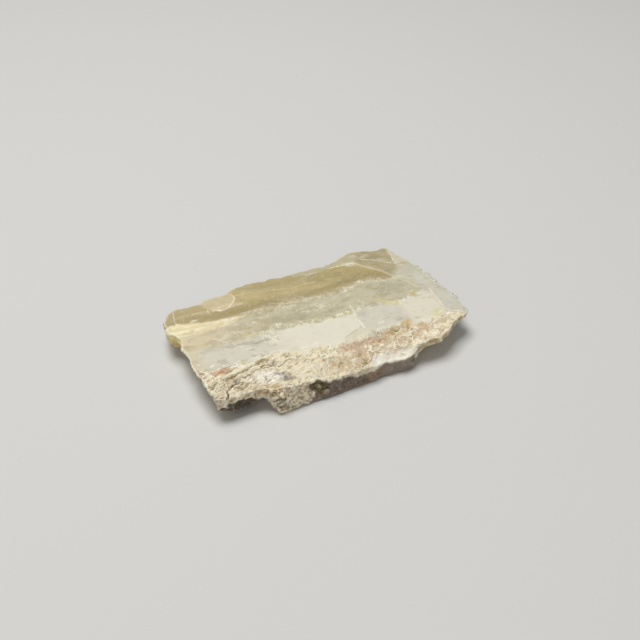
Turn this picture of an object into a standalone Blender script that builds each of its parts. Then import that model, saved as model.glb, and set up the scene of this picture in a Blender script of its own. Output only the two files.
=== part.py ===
"""A slice of banded opal with the rough crust of its host rock grown along the front edge.

Metres, +Z up. The slice lies on its flat sawn underside at Z = 0, its bands run along X, the crust
faces -Y, and the origin is the middle of its footprint. It grew as one piece, so it is one solid:
a blank is drawn down from the rim to the foot, shell-shaped scars and flat breaks are cut from it,
and the crust is then lowered and roughened.
"""

from math import copysign

import bmesh
import bpy
from mathutils import Matrix, Vector, kdtree, noise

MM = 0.001
NOISE_SEED = 7

# Driving sizes, in millimetres. Plan places are measured from the left end and from the front edge.
THICKNESS = 6.0
RIM_STEP = 1.0  # the longest stretch of rim between two points
RIM_ROUGHNESS = 0.22
RIM_JAGS = 0.9  # about this many jags to the millimetre along a rough stretch
RIM_JAG_LEVEL = 3.7
LIP_RINGS = (0.35, 0.7)  # rings on the upright lip, as shares of its height
WALL_RINGS = (0.35, 0.7)  # rings between the lip and the foot, as shares of the way down
WALL_BOW = 0.8  # below 1, a wall runs in faster just under the lip than near the foot
LIP_SLOPE = 0.04  # the share of the undercut that the lip has already taken at its lower edge
CORE_LEFT, CORE_RIGHT = Vector((15.0, 15.0)), Vector((42.0, 15.0))  # the walls run in towards it

# The rim as seen from above, anticlockwise from the front left corner:
# (along, across, height of the upright lip, how far the foot lies in under the rim).
FRONT_RIM = [
    (2.5, 2.5, 3.0, 4.5),
    (4.2, 2.2, 3.6, 4.5),
    (6.0, 1.9, 3.9, 4.5),
    (8.2, 1.9, 3.8, 4.5),
    (9.4, 2.0, 3.0, 4.5),
    (10.8, 1.8, 2.5, 4.2),
    (11.9, 1.0, 3.4, 2.0),
    (12.8, 0.1, 5.4, 0.4),
    (14.4, 0.0, 5.6, 0.2),
    (19.6, 0.5, 5.6, 0.2),
    (24.0, 0.5, 5.6, 0.2),
    (29.6, 0.9, 5.6, 0.2),
    (34.0, 1.3, 5.6, 0.2),
    (38.4, 1.0, 5.6, 0.3),
    (39.7, 1.1, 5.0, 0.8),
]
RIGHT_RIM = [
    (41.0, 1.9, 3.4, 4.0),
    (43.0, 1.6, 1.8, 5.5),
    (45.4, 1.5, 1.5, 6.0),
    (47.6, 2.3, 1.4, 6.0),
    (48.9, 3.8, 1.4, 6.0),
    (51.5, 4.8, 1.4, 6.0),
    (53.2, 5.6, 1.4, 6.0),
    (54.1, 6.6, 1.5, 5.5),
    (54.2, 9.2, 1.6, 5.0),
    (54.3, 12.0, 1.6, 4.5),
    (53.4, 15.2, 1.7, 4.0),
    (53.1, 16.6, 1.8, 4.0),
    (53.7, 18.0, 2.0, 4.0),
    (53.5, 19.8, 2.2, 4.0),
    (52.7, 22.2, 2.2, 3.5),
    (51.4, 26.1, 2.2, 3.5),
    (50.5, 29.4, 2.4, 3.5),
]
BACK_RIM = [
    (49.9, 32.1, 2.8, 3.5),
    (48.5, 32.4, 2.6, 3.5),
    (46.4, 31.7, 2.4, 3.2),
    (44.2, 32.6, 2.4, 3.2),
    (41.6, 32.9, 2.4, 3.2),
    (39.8, 32.4, 2.4, 3.0),
    (38.0, 31.4, 2.4, 3.0),
    (35.6, 31.2, 2.4, 3.0),
    (32.0, 31.8, 2.6, 3.0),
    (28.0, 32.0, 2.6, 3.0),
    (23.7, 32.2, 2.6, 3.0),
    (20.0, 32.2, 2.6, 3.0),
    (17.6, 31.7, 2.4, 3.0),
    (14.3, 30.3, 2.2, 3.0),
    (13.2, 29.4, 2.2, 3.0),
    (10.6, 29.5, 2.2, 3.0),
    (8.6, 29.3, 2.2, 3.0),
    (8.1, 28.5, 2.2, 3.0),
    (5.5, 28.7, 2.2, 3.4),
    (2.8, 28.8, 2.2, 4.0),
]
LEFT_RIM = [
    (1.3, 28.2, 2.4, 4.5),
    (0.3, 26.4, 2.8, 5.0),
    (0.0, 23.4, 3.0, 5.5),
    (0.3, 21.5, 3.0, 5.5),
    (1.5, 20.4, 1.8, 5.5),
    (1.1, 17.0, 0.5, 5.5),
    (1.2, 14.4, 0.6, 5.0),
    (1.5, 12.7, 0.5, 5.0),
    (1.2, 11.0, 0.4, 5.0),
    (1.6, 7.9, 0.5, 4.8),
    (2.1, 4.6, 1.2, 4.6),
]

# Shell-shaped scars: (centre, half sizes, bluntness, roughness), each an ellipsoid; the lower its
# bluntness, the squarer its ends along X.
SCARS = {
    "trough_scar": ((11.6, 24.1, 8.0), (14.6, 3.2, 2.75), 1.0, 0.0),
    "great_scar": ((30.2, 31.0, 9.3), (23.4, 14.4, 4.4), 0.5, 0.0),
    "rim_scar": ((27.0, 35.0, 9.0), (22.0, 11.4, 5.3), 1.0, 0.0),
    "glass_recess": ((21.4, -1.3, 4.2), (2.3, 2.3, 1.7), 0.8, 0.5),
    "lobe_recess": ((7.2, 0.6, 3.2), (3.0, 2.1, 1.6), 1.0, 0.4),
    "corner_bite": ((40.6, 0.3, 2.2), (1.5, 1.5, 1.6), 1.0, 0.4),
}

SCAR_SEGMENTS = 48
SMALL_SCAR_SEGMENTS = 20
SCAR_BREAKS = 1.6  # the distance from dent to dent in a rough scar

# The breaks that cross the top, each a plane through three points (along, across, height). What
# stands above the plane is gone.
TOP_BREAKS = {
    "tongue": ((2.0, 23.6, 6.0), (16.0, 23.6, 6.0), (8.0, 29.0, 5.3)),
    "tip": ((2.4, 28.4, 5.25), (1.9, 23.6, 6.0), (0.0, 26.4, 4.9)),
    "back_point": ((36.0, 28.8, 5.2), (43.4, 27.4, 5.3), (41.0, 33.0, 4.7)),
    "right_shoulder": ((48.0, 15.3, 6.0), (42.7, 25.2, 5.5), (51.4, 25.3, 4.9)),
    "shoulder_step": ((45.5, 27.7, 5.0), (49.3, 24.2, 5.05), (49.6, 31.0, 4.1)),
    "right_edge": ((51.6, 21.8, 5.3), (52.2, 15.4, 5.6), (53.7, 18.0, 4.6)),
    "right_corner": ((49.7, 8.0, 6.0), (49.8, 14.0, 6.0), (54.0, 8.0, 5.4)),
    "corner_bevel": ((53.0, 8.0, 5.5), (53.2, 13.4, 5.4), (54.4, 10.5, 4.7)),
}

# The crust along the front: where it begins, how high the front edge stands, and how far the top
# of the front face leans back from its lower edge, all along X.
CRUST_BORDER = [
    (0.0, 7.0),
    (5.0, 6.4),
    (9.8, 8.2),
    (15.2, 9.8),
    (20.0, 7.8),
    (28.4, 6.6),
    (36.0, 7.4),
    (42.0, 7.6),
    (47.3, 6.2),
    (54.5, 6.8),
]
FRONT_HEIGHT = [
    (0.0, 5.6),
    (4.0, 4.9),
    (10.0, 4.8),
    (14.0, 5.1),
    (20.0, 4.8),
    (25.5, 3.9),
    (30.0, 4.1),
    (34.0, 3.3),
    (39.5, 3.7),
    (43.0, 5.0),
    (54.5, 5.4),
]
FRONT_LEAN = [
    (0.0, 0.2),
    (4.0, 0.9),
    (6.0, 1.6),
    (10.0, 1.4),
    (13.0, 0.9),
    (20.0, 0.9),
    (30.0, 0.6),
    (39.0, 0.2),
    (54.5, 0.0),
]
LEAN_DEPTH = 4.0  # the lean fades out over this distance from the front edge
CRUST_STEP = 0.2  # the share of the drop that the crust takes at its border
CRUST_STEP_LENGTH = 1.4
CRUST_GRID = 0.8
CRUST_REACH = 11.2  # the grid covers the top this far back from the front edge
LUMP_HEIGHT = 0.42
LUMP_SPREAD = 2.3  # the distance from lump to lump
CRUST_FADE_FROM, CRUST_FADE = 0.4, 2.0  # the relief starts this far behind the border, and grows
RIDGE_HEIGHT = 0.42  # the crust's ridges, which run nearly along the bands
RIDGE_SPREAD = 1.9
RIDGE_STRETCH = 0.22  # how fast the ridges change along X, against across it
RIDGE_SLANT = 0.16
RIDGE_SHARPNESS, RIDGE_SINK = 2.0, 0.5
SHAKE = 0.45  # how far the broken surface of the walls stands in or out
SHAKE_SPREAD = 1.8
SHAKE_DEPTH = 4.0  # the shaking reaches this far in from the rim
FOOT_FADE = 1.2  # the shaking dies away below this height, so that the foot keeps its outline
MERGE = 0.03
LEVEL_NORMAL = 0.9  # a face whose normal rises more than this is nearly level
TOP_NORMAL = 0.5  # and one that rises more than this belongs to the top
FLAT_ANGLE = 0.004  # radians
CRISP_ANGLE = 0.3  # radians; a sharper edge than this stays crisp
OPAL_COLOUR = (0.60, 0.54, 0.37, 1.0)
OPAL_ROUGHNESS = 0.4


def along_line(line, x):
    """The height at x of a line that is given by its corner points."""
    for (x0, y0), (x1, y1) in zip(line, line[1:]):
        if x <= x1:
            share = max(0.0, (x - x0) / (x1 - x0))
            return y0 + (y1 - y0) * share
    return line[-1][1]


def smooth(share):
    share = min(1.0, max(0.0, share))
    return share * share * (3.0 - 2.0 * share)


def rim_points():
    """The rim's corner points with rough stretches between them, as (plan place, lip, undercut)."""
    corners = FRONT_RIM + RIGHT_RIM + BACK_RIM + LEFT_RIM
    points = []
    for start, end in zip(corners, corners[1:] + corners[:1]):
        place, toward = Vector(start[:2]), Vector(end[:2])
        pieces = max(1, round((toward - place).length / RIM_STEP))
        across = Vector((toward.y - place.y, place.x - toward.x)).normalized()
        for piece in range(pieces):
            share = piece / pieces
            point = place.lerp(toward, share)
            spot = Vector((point.x, point.y, RIM_JAG_LEVEL))
            jag = noise.noise(spot * RIM_JAGS) if piece else 0.0
            lip = start[2] + (end[2] - start[2]) * share
            undercut = start[3] + (end[3] - start[3]) * share
            points.append((point + across * jag * RIM_ROUGHNESS, lip, undercut))
    return points


def inward(point):
    """The direction in plan from a rim point to the slice's core line."""
    core = CORE_RIGHT - CORE_LEFT
    share = min(1.0, max(0.0, (point - CORE_LEFT).dot(core) / core.length_squared))
    return (CORE_LEFT + core * share - point).normalized()


def draw_ring(bm, face, points, depths):
    """Extrudes the face, then lays the new one's corners at each rim point's own depth.

    depths gives, for each rim point, (share of the undercut, height)."""
    drawn = bmesh.ops.extrude_discrete_faces(bm, faces=[face])["faces"][0]
    number = bm.verts.layers.int["rim_number"]
    for vert in drawn.verts:
        point, _, undercut = points[vert[number]]
        share, height = depths[vert[number]]
        place = point + inward(point) * undercut * share
        vert.co = Vector((place.x, place.y, height))
    return drawn


def draw_blank():
    """The slice before its breaks: the rim's outline drawn down to the foot, ring by ring."""
    points = rim_points()
    bm = bmesh.new()
    number = bm.verts.layers.int.new("rim_number")
    rim = []
    for place, (point, _, _) in enumerate(points):
        vert = bm.verts.new((point.x, point.y, THICKNESS))
        vert[number] = place
        rim.append(vert)
    face = bm.faces.new(rim)
    for share in LIP_RINGS:
        face = draw_ring(bm, face, points, [(0.0, THICKNESS - lip * share) for _, lip, _ in points])
    face = draw_ring(bm, face, points, [(LIP_SLOPE, THICKNESS - lip) for _, lip, _ in points])
    for share in WALL_RINGS:
        inset = share**WALL_BOW
        depths = [(inset, (THICKNESS - lip) * (1.0 - share)) for _, lip, _ in points]
        face = draw_ring(bm, face, points, depths)
    draw_ring(bm, face, points, [(1.0, 0.0)] * len(points))
    bm.faces.new(rim)
    bmesh.ops.recalc_face_normals(bm, faces=bm.faces)
    bmesh.ops.triangulate(bm, faces=bm.faces)
    return bm


def object_of(bm, name):
    mesh = bpy.data.meshes.new(name)
    bm.to_mesh(mesh)
    bm.free()
    made = bpy.data.objects.new(name, mesh)
    bpy.context.scene.collection.objects.link(made)
    return made


def scar_cutter(name, centre, half_sizes, bluntness, roughness):
    """An ellipsoid whose ends along X are blunted, with a broken surface if it is rough."""
    bm = bmesh.new()
    segments = SMALL_SCAR_SEGMENTS if roughness else SCAR_SEGMENTS
    bmesh.ops.create_uvsphere(bm, u_segments=segments, v_segments=segments, radius=1.0)
    for vert in bm.verts:
        vert.co.x = copysign(abs(vert.co.x) ** bluntness, vert.co.x)
    bmesh.ops.scale(bm, vec=half_sizes, verts=bm.verts)
    bmesh.ops.translate(bm, vec=centre, verts=bm.verts)
    for vert in bm.verts:
        vert.co += noise.noise_vector(vert.co / SCAR_BREAKS) * roughness
    bmesh.ops.triangulate(bm, faces=bm.faces)
    cutter = object_of(bm, name)
    cutter.hide_render = True
    cutter.display_type = "WIRE"
    return cutter


def cut_scars(blank):
    """Takes the scars from the blank, and gives the result as a bmesh."""
    for name, sizes in SCARS.items():
        cut = blank.modifiers.new(name, "BOOLEAN")
        cut.operation = "DIFFERENCE"
        cut.solver = "EXACT"
        cut.object = scar_cutter(name, *sizes)
    evaluated = blank.evaluated_get(bpy.context.evaluated_depsgraph_get())
    bm = bmesh.new()
    bm.from_mesh(evaluated.to_mesh())
    evaluated.to_mesh_clear()
    bpy.data.objects.remove(blank)
    for name in SCARS:
        bpy.data.objects.remove(bpy.data.objects[name])
    return bm


def merge_flat(bm):
    """Joins the faces of the top that lie in one plane, which leaves no slivers beside a cut."""
    bmesh.ops.remove_doubles(bm, verts=bm.verts, dist=MERGE)
    edges = [e for e in bm.edges if all(f.normal.z > LEVEL_NORMAL for f in e.link_faces)]
    bmesh.ops.dissolve_limit(bm, angle_limit=FLAT_ANGLE, verts=[], edges=edges)


def break_top(bm):
    """Cuts the top along each break plane and closes the cut."""
    for first, second, third in TOP_BREAKS.values():
        first, second, third = Vector(first), Vector(second), Vector(third)
        normal = (second - first).cross(third - first).normalized()
        if normal.z < 0:
            normal.negate()
        geom = list(bm.verts) + list(bm.edges) + list(bm.faces)
        made = bmesh.ops.bisect_plane(
            bm, geom=geom, plane_co=first, plane_no=normal, clear_outer=True
        )["geom_cut"]
        edges = [g for g in made if isinstance(g, bmesh.types.BMEdge) and g.is_boundary]
        bmesh.ops.edgenet_fill(bm, edges=edges)
    merge_flat(bm)


def grid_crust(bm):
    """Slices the top near the front edge into squares small enough to carry lumps."""

    def slice_top(place, normal):
        top = [f for f in bm.faces if f.normal.z > TOP_NORMAL]
        faces = [f for f in top if f.calc_center_median().y < CRUST_REACH]
        edges = dict.fromkeys(edge for face in faces for edge in face.edges)
        verts = dict.fromkeys(vert for face in faces for vert in face.verts)
        bmesh.ops.bisect_plane(bm, geom=[*faces, *edges, *verts], plane_co=place, plane_no=normal)

    every = [*bm.verts, *bm.edges, *bm.faces]
    bmesh.ops.bisect_plane(bm, geom=every, plane_co=(0, CRUST_REACH, 0), plane_no=(0, 1, 0))
    for step in range(1, round(CRUST_REACH / CRUST_GRID)):
        slice_top((0, step * CRUST_GRID, 0), (0, 1, 0))
    for step in range(1, round(max(v.co.x for v in bm.verts) / CRUST_GRID)):
        slice_top((step * CRUST_GRID, 0, 0), (1, 0, 0))


def crust_share(x, y):
    """0 on the sawn face, a step down at the crust's border, then rising to 1 at the front edge."""
    border = along_line(CRUST_BORDER, x)
    step = smooth((border - y) / CRUST_STEP_LENGTH)
    return CRUST_STEP * step + (1.0 - CRUST_STEP) * smooth((border - y) / border)


def lower_crust(bm):
    """Slopes the top down to the front edge, and leans the front face back."""
    for vert in bm.verts:
        x, y, z = vert.co
        drop = (THICKNESS - along_line(FRONT_HEIGHT, x)) * crust_share(x, y)
        high = z / THICKNESS
        vert.co.z -= drop * high**2
        vert.co.y += along_line(FRONT_LEAN, x) * smooth(high) * (1.0 - smooth(y / LEAN_DEPTH))


def crust_relief(x, y):
    """How far the crust stands above its even slope at a place: lumps, and ridges along the bands."""
    place = Vector((x, y, 0.0))
    lumps = noise.fractal(place / LUMP_SPREAD, 1.0, 2.0, 2) * LUMP_HEIGHT
    rows = Vector((x * RIDGE_STRETCH, y + x * RIDGE_SLANT, 0.0)) / RIDGE_SPREAD
    ridges = abs(noise.noise(rows)) * RIDGE_SHARPNESS - RIDGE_SINK
    return lumps + ridges * RIDGE_HEIGHT


def roughen(bm):
    """Raises and lowers the crust, and shakes the walls sideways."""
    points = rim_points()
    rim = kdtree.KDTree(len(points))
    for place, (point, _, _) in enumerate(points):
        rim.insert(point.to_3d(), place)
    rim.balance()
    for vert in bm.verts:
        x, y, z = vert.co
        border = along_line(CRUST_BORDER, x) + CRUST_FADE_FROM
        crust = smooth((border - y) / CRUST_FADE) * (z / THICKNESS) ** 2
        _, _, depth = rim.find((x, y, 0.0))
        wall = (1.0 - smooth(depth / SHAKE_DEPTH)) * smooth(z / FOOT_FADE)
        shake = noise.noise_vector(vert.co / SHAKE_SPREAD) * SHAKE * wall
        vert.co += Vector((shake.x, shake.y, crust_relief(x, y) * crust))


def opal_material():
    material = bpy.data.materials.new("banded_opal")
    material.use_nodes = True
    shader = material.node_tree.nodes["Principled BSDF"]
    shader.inputs["Base Color"].default_value = OPAL_COLOUR
    shader.inputs["Roughness"].default_value = OPAL_ROUGHNESS
    shader.inputs["Metallic"].default_value = 0.0
    return material


def finish_slice(bm):
    """Turns the carved mesh into the node: triangles, in metres, on the middle of its footprint."""
    bmesh.ops.remove_doubles(bm, verts=bm.verts, dist=MERGE)
    bmesh.ops.triangulate(bm, faces=bm.faces)
    bmesh.ops.recalc_face_normals(bm, faces=bm.faces)
    low = Vector([min(v.co[axis] for v in bm.verts) for axis in range(3)])
    high = Vector([max(v.co[axis] for v in bm.verts) for axis in range(3)])
    middle = Vector(((low.x + high.x) / 2, (low.y + high.y) / 2, low.z))
    bm.transform(Matrix.Scale(MM, 4) @ Matrix.Translation(-middle))
    opal = object_of(bm, "opal_slice")
    opal.data.shade_smooth()
    opal.data.set_sharp_from_angle(angle=CRISP_ANGLE)
    opal.data.materials.append(opal_material())
    return opal


def main():
    for old in list(bpy.data.objects):
        bpy.data.objects.remove(old)
    noise.seed_set(NOISE_SEED)
    blank = object_of(draw_blank(), "blank")
    bm = cut_scars(blank)
    break_top(bm)
    grid_crust(bm)
    lower_crust(bm)
    roughen(bm)
    finish_slice(bm)


main()
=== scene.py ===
# %% [markdown]
# # A slice of banded opal
#
# The stone is one piece, 54 mm long and 6 mm thick. Its flat top was sawn and shows the bands that
# the opal grew in. Behind them it broke like glass, and along the front runs the rough crust of
# its host rock.
#
# The solid slice is loaded first and never changed. Everything here is measured from it.

# %% Load the solid slice
import math

import bmesh
import bpy
import numpy as np
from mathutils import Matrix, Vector, noise


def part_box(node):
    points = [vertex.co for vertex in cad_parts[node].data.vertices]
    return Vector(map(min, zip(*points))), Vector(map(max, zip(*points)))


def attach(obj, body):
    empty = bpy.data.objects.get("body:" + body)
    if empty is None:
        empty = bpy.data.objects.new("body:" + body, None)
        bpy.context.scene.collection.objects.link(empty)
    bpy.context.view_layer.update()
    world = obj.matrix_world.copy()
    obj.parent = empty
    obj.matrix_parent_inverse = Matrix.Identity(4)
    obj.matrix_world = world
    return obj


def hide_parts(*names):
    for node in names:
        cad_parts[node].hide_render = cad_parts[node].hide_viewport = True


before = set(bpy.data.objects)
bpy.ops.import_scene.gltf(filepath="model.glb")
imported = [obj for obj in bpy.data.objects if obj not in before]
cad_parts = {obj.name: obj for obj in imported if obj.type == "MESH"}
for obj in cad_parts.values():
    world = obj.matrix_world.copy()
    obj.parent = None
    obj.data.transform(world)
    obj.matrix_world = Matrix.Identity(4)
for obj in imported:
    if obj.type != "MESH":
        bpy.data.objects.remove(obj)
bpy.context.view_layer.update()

MM = 0.001
low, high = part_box("opal_slice")
print("solid slice, mm:", [round(side / MM, 2) for side in high - low])

# %% [markdown]
# ## A place to measure from
#
# Every border and mark is given as seen from above, in millimetres from the stone's left end and
# front edge. The rim is ragged, so the lowest corner lies a little outside those. The noise has a
# fixed seed, or the stone would be another one each time.

# %% Plan places
RIM_JUTS_OUT = (0.21, 0.0)
noise.seed_set(11)


def plan_places(coordinates):
    """Positions in metres as (along, across, height) in millimetres."""
    corner = np.array((low.x / MM + RIM_JUTS_OUT[0], low.y / MM + RIM_JUTS_OUT[1], low.z / MM))
    return coordinates / MM - corner


# %% [markdown]
# ## A fine skin over the slice
#
# Six thousand triangles are too few for strands and pits a fifth of a millimetre wide, and
# subdividing would keep their long thin shapes. A voxel remesh wraps the stone in even squares
# instead. The solid's loose triangles are merged before it.

# %% Wrap the stone
FINE = 0.187 * MM
MERGE = 0.001 * MM


def bmesh_of(mesh):
    bm = bmesh.new()
    bm.from_mesh(mesh)
    return bm


def object_of(bm, name):
    mesh = bpy.data.meshes.new(name)
    bm.to_mesh(mesh)
    bm.free()
    made = bpy.data.objects.new(name, mesh)
    bpy.context.scene.collection.objects.link(made)
    return made


def apply_modifiers(piece):
    """The piece's mesh becomes what its modifiers make of it."""
    evaluated = piece.evaluated_get(bpy.context.evaluated_depsgraph_get())
    finished = bpy.data.meshes.new_from_object(evaluated)
    piece.modifiers.clear()
    piece.data = finished


bm = bmesh_of(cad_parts["opal_slice"].data)
bmesh.ops.remove_doubles(bm, verts=bm.verts, dist=MERGE)
opal = object_of(bm, "banded_opal_slice")
wrap = opal.modifiers.new("fine skin", "REMESH")
wrap.mode = "VOXEL"
wrap.voxel_size = FINE
apply_modifiers(opal)
print("fine skin:", len(opal.data.polygons), "squares")

# %% [markdown]
# ## The borders on the stone
#
# Two long lines part the top: the crust's border in front, and the edge of the broken back. They
# are drawn by corner points, and noise frays them later.

# %% Borders
CRUST_BORDER = [
    (0, 9.8), (2.2, 9.6), (4, 9.5), (5.6, 9.3), (7.4, 9.1), (9.8, 8.9), (11, 8.5), (13, 9.1),
    (15.3, 9.4), (17, 9), (19, 8), (20, 7.1), (22, 7.2), (24, 7.6), (25, 7.3), (26, 6.5),
    (28.2, 6.2), (30, 6.4), (32, 6.6), (34.3, 7), (36.5, 7), (39.5, 7.4), (41, 7.6), (42.3, 6.8),
    (43, 6), (45, 5.6), (47.5, 6.7), (49, 6.9), (50.5, 6.4), (54.5, 6.6),
]
BACK_BORDER = [
    (0, 24.3), (1.9, 24), (5.3, 23.5), (8.7, 22.3), (11.8, 21.6), (17.2, 22), (19, 23.3),
    (20.1, 22.8), (23.7, 22.1), (26.2, 21.9), (31.1, 20.9), (35.1, 20.9), (38.9, 21.9),
    (41.4, 22.1), (44.5, 20.3), (49, 15.5), (54.5, 15.5),
]
print("corners on the borders:", len(CRUST_BORDER), "in front,", len(BACK_BORDER), "behind")

# %% [markdown]
# ## Measuring from a line
#
# A border cut into the mesh would show as straight cuts. Measuring how far every point lies from
# the line keeps it soft, and one line serves both relief and colour.

# %% Distances and shares
FAR_OFF = 1e6


def ramp(value, start, end):
    """0 at start, 1 at end, and smooth between them."""
    share = np.clip((value - start) / (end - start), 0.0, 1.0)
    return share * share * (3.0 - 2.0 * share)


def line_at(line, along):
    return np.interp(along, [place for place, _ in line], [height for _, height in line])


def distance_to(line, on):
    """How far each place is from a line drawn by its corner points."""
    along, across = on[:, 0], on[:, 1]
    nearest = np.full(len(on), FAR_OFF)
    for (x0, y0), (x1, y1) in zip(line, line[1:]):
        run, rise = x1 - x0, y1 - y0
        share = ((along - x0) * run + (across - y0) * rise) / (run * run + rise * rise)
        share = np.clip(share, 0.0, 1.0)
        off_along, off_across = along - x0 - share * run, across - y0 - share * rise
        nearest = np.minimum(nearest, np.hypot(off_along, off_across))
    return nearest


def depth_inside(outline, on):
    """How deep each place lies inside an outline; negative outside it."""
    along, across = on[:, 0], on[:, 1]
    closed = outline + outline[:1]
    within = np.zeros(len(on), bool)
    for (x0, y0), (x1, y1) in zip(closed, closed[1:]):
        if y0 != y1:
            crossing = x0 + (across - y0) * (x1 - x0) / (y1 - y0)
            within ^= ((y0 > across) != (y1 > across)) & (along < crossing)
    return np.where(within, 1.0, -1.0) * distance_to(closed, on)


def in_outline(outline, on, fade=0.3):
    return ramp(depth_inside(outline, on), -fade, fade)


# %% [markdown]
# ## Noise for broken stone
#
# Broken rock is rough at every size at once. Three kinds of noise give it: soft lumps; thin
# strands, where a soft noise passes through nought; and pits round scattered points.

# %% Kinds of roughness
def lumps(places, spread, level=0.0):
    """Soft noise, from about -1 to 1, with its lumps about spread millimetres apart."""
    return np.array([noise.noise(place) for place in (places / spread + level).tolist()])


def strands(places, spread, width, level=0.0):
    """1 on thin winding strands, and 0 between them."""
    return np.clip(1.0 - np.abs(lumps(places, spread, level)) / width, 0.0, 1.0)


def pits(places, spread, width, level=0.0):
    """1 in the middle of scattered pits, and 0 between them."""
    scaled = (places / spread + level).tolist()
    nearest = np.array([noise.voronoi(place)[0][0] for place in scaled])
    return np.clip(1.0 - nearest / width, 0.0, 1.0)


def turned(places, angle, stretch):
    """Places turned by angle degrees and squeezed, so that noise on them runs long."""
    cosine, sine = math.cos(math.radians(angle)), math.sin(math.radians(angle))
    along = (places[:, 0] * cosine + places[:, 1] * sine) / stretch
    across = places[:, 1] * cosine - places[:, 0] * sine
    return np.stack((along, across, places[:, 2]), axis=1)


def frayed(places, spread, reach):
    """Places moved about by noise, which frays any border measured on them."""
    moved = [noise.noise_vector(place) for place in (places / spread).tolist()]
    return places + np.array(moved) * reach


def on_plan(places):
    return np.stack((places[:, 0], places[:, 1], np.zeros(len(places))), axis=1)


def frayed_plan(places, spread, reach):
    return frayed(on_plan(places), spread, reach)


# %% [markdown]
# ## Relief
#
# The relief on top only raises or lowers the skin. It is worked out from the plan place, so the
# colours can find the same strands and pits again. These lines say where the largest forms run.

# %% Lines on the crust
DIAGONAL_RIDGE = [(5.2, 6.6), (6.4, 7.2), (9.4, 7.9), (12.4, 8.7), (15.6, 9.2)]
GROOVES = [
    [(4.6, 5.8), (8.4, 7), (10.6, 7.6), (14, 8.3)],
    [(6.6, 5.5), (8.8, 6), (10.2, 6.3), (11.4, 6.8)],
    [(2.6, 5.2), (3.6, 6), (5.4, 6.5)],
    [(15.4, 6.2), (17, 6.8), (19.4, 6.9)],
]
DARK_CRACK = [(4.5, 2.2), (4.7, 3), (4.9, 4.1), (5.6, 4.5), (6.4, 4.9), (7.6, 5.1)]
EYE_CRACK = [(14, 6.6), (13.2, 6.7), (12.3, 7), (12.9, 7.4), (13.6, 7.2), (14.7, 6.5)]
WHITE_FOLD = [(31.6, 1.6), (33.6, 3), (36.3, 3.3), (40.6, 3), (40.6, -1), (34.9, -1), (32.5, 0.4)]
print("lines on the crust:", 3 + len(GROOVES))

# %% [markdown]
# ## Strands and pits of the crust
#
# The crust is crinkled like bark at its left end and like wrung paper at its right. Sculpting every
# crinkle would take days. Noise squeezed along one direction makes long strands instead, and the
# same noise turned makes others cross them.

# %% Shares on the crust
def crust_strands(places):
    """Strands that run long and slanting at the left, and short and every way at the right."""
    ground = frayed_plan(places, 1.7, 0.7)
    slanting = strands(turned(ground, 22.0, 4.0), 0.75, 0.4, 2.0) ** 1.5
    winding = strands(turned(ground, 16.0, 2.2), 1.9, 0.2, 5.0)
    crossing = strands(turned(ground, 62.0, 1.8), 1.6, 0.18, 8.0)
    unbroken = ramp(lumps(on_plan(places), 1.1, 9.0), -0.25, 0.15)
    short_ones = np.maximum(winding, crossing) * unbroken
    to_right = ramp(places[:, 0], 13.0, 20.0)
    return short_ones * to_right + slanting * (1.0 - to_right) * 0.7


def crust_pits(places):
    """Scattered pits, in patches."""
    ground = frayed_plan(places, 0.6, 0.3)
    patches = ramp(lumps(on_plan(places), 2.6, 17.0), 0.05, 0.4)
    return pits(turned(ground, 10.0, 1.5), 0.85, 0.36, 5.0) * patches


def crust_share(places, fade=0.5):
    """1 on the crust, 0 on the sawn face, and frayed between them."""
    ragged = frayed_plan(places, 1.6, 0.9)
    return ramp(line_at(CRUST_BORDER, ragged[:, 0]) - ragged[:, 1], -fade, fade)


def ridge_and_crack(places):
    """The shares of the diagonal ridge and of the cracks beside it."""
    ragged = frayed_plan(places, 0.9, 0.22)
    ridge = ramp(distance_to(DIAGONAL_RIDGE, ragged), 0.5, 0.05)
    crack = ramp(distance_to(DARK_CRACK, ragged), 0.24, 0.05)
    eye = ramp(distance_to(EYE_CRACK, ragged), 0.14, 0.03)
    return ridge, np.maximum(crack, eye)


def groove_share(places):
    """1 in the long grooves that run beside the diagonal ridge."""
    ragged = frayed_plan(places, 0.8, 0.3)
    nearest = np.min([distance_to(line, ragged) for line in GROOVES], axis=0)
    return ramp(nearest, 0.26, 0.05) * ramp(lumps(on_plan(places), 1.0, 2.0), -0.4, -0.1)


# %% [markdown]
# ## How high the crust stands
#
# All heights are in millimetres, and small: the largest crinkle is a sixth of a millimetre high.
# Only the dark crack goes deeper.

# %% Relief on the crust
STRAND_HEIGHT, PIT_DEPTH, BED_DEPTH = 0.16, 0.16, 0.03
FOLD_HEIGHT, RIDGE_HEIGHT, GROOVE_DEPTH, CRACK_DEPTH = 0.2, 0.08, 0.08, 0.35


def crust_relief(places):
    ridge, crack = ridge_and_crack(places)
    folds = ramp(depth_inside(WHITE_FOLD, places), 0.0, 0.6)
    ground = on_plan(places)
    rough = lumps(ground, 1.5, 6.0) * 0.12 + lumps(ground, 0.6) * 0.09
    rough = rough + lumps(ground, 0.3, 3.0) * 0.05
    relief = crust_strands(places) * STRAND_HEIGHT - crust_pits(places) * PIT_DEPTH
    relief = relief + rough - BED_DEPTH
    folded = folds * np.abs(lumps(ground, 1.3, 21.0)) * FOLD_HEIGHT
    relief = relief * (1.0 - 0.7 * folds) + folded
    ridge = ridge * ramp(places[:, 0], 16.0, 11.0)
    return relief + ridge * RIDGE_HEIGHT - crack * CRACK_DEPTH - groove_share(places) * GROOVE_DEPTH


# %% [markdown]
# ## Glassy back, chipped rim and broken walls
#
# The glassy back has faint ripples, as glass has where it was struck. The walls are shaken sideways
# into scoops, lumps and crumbs. The shares below say how much of each a point gets.

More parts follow.
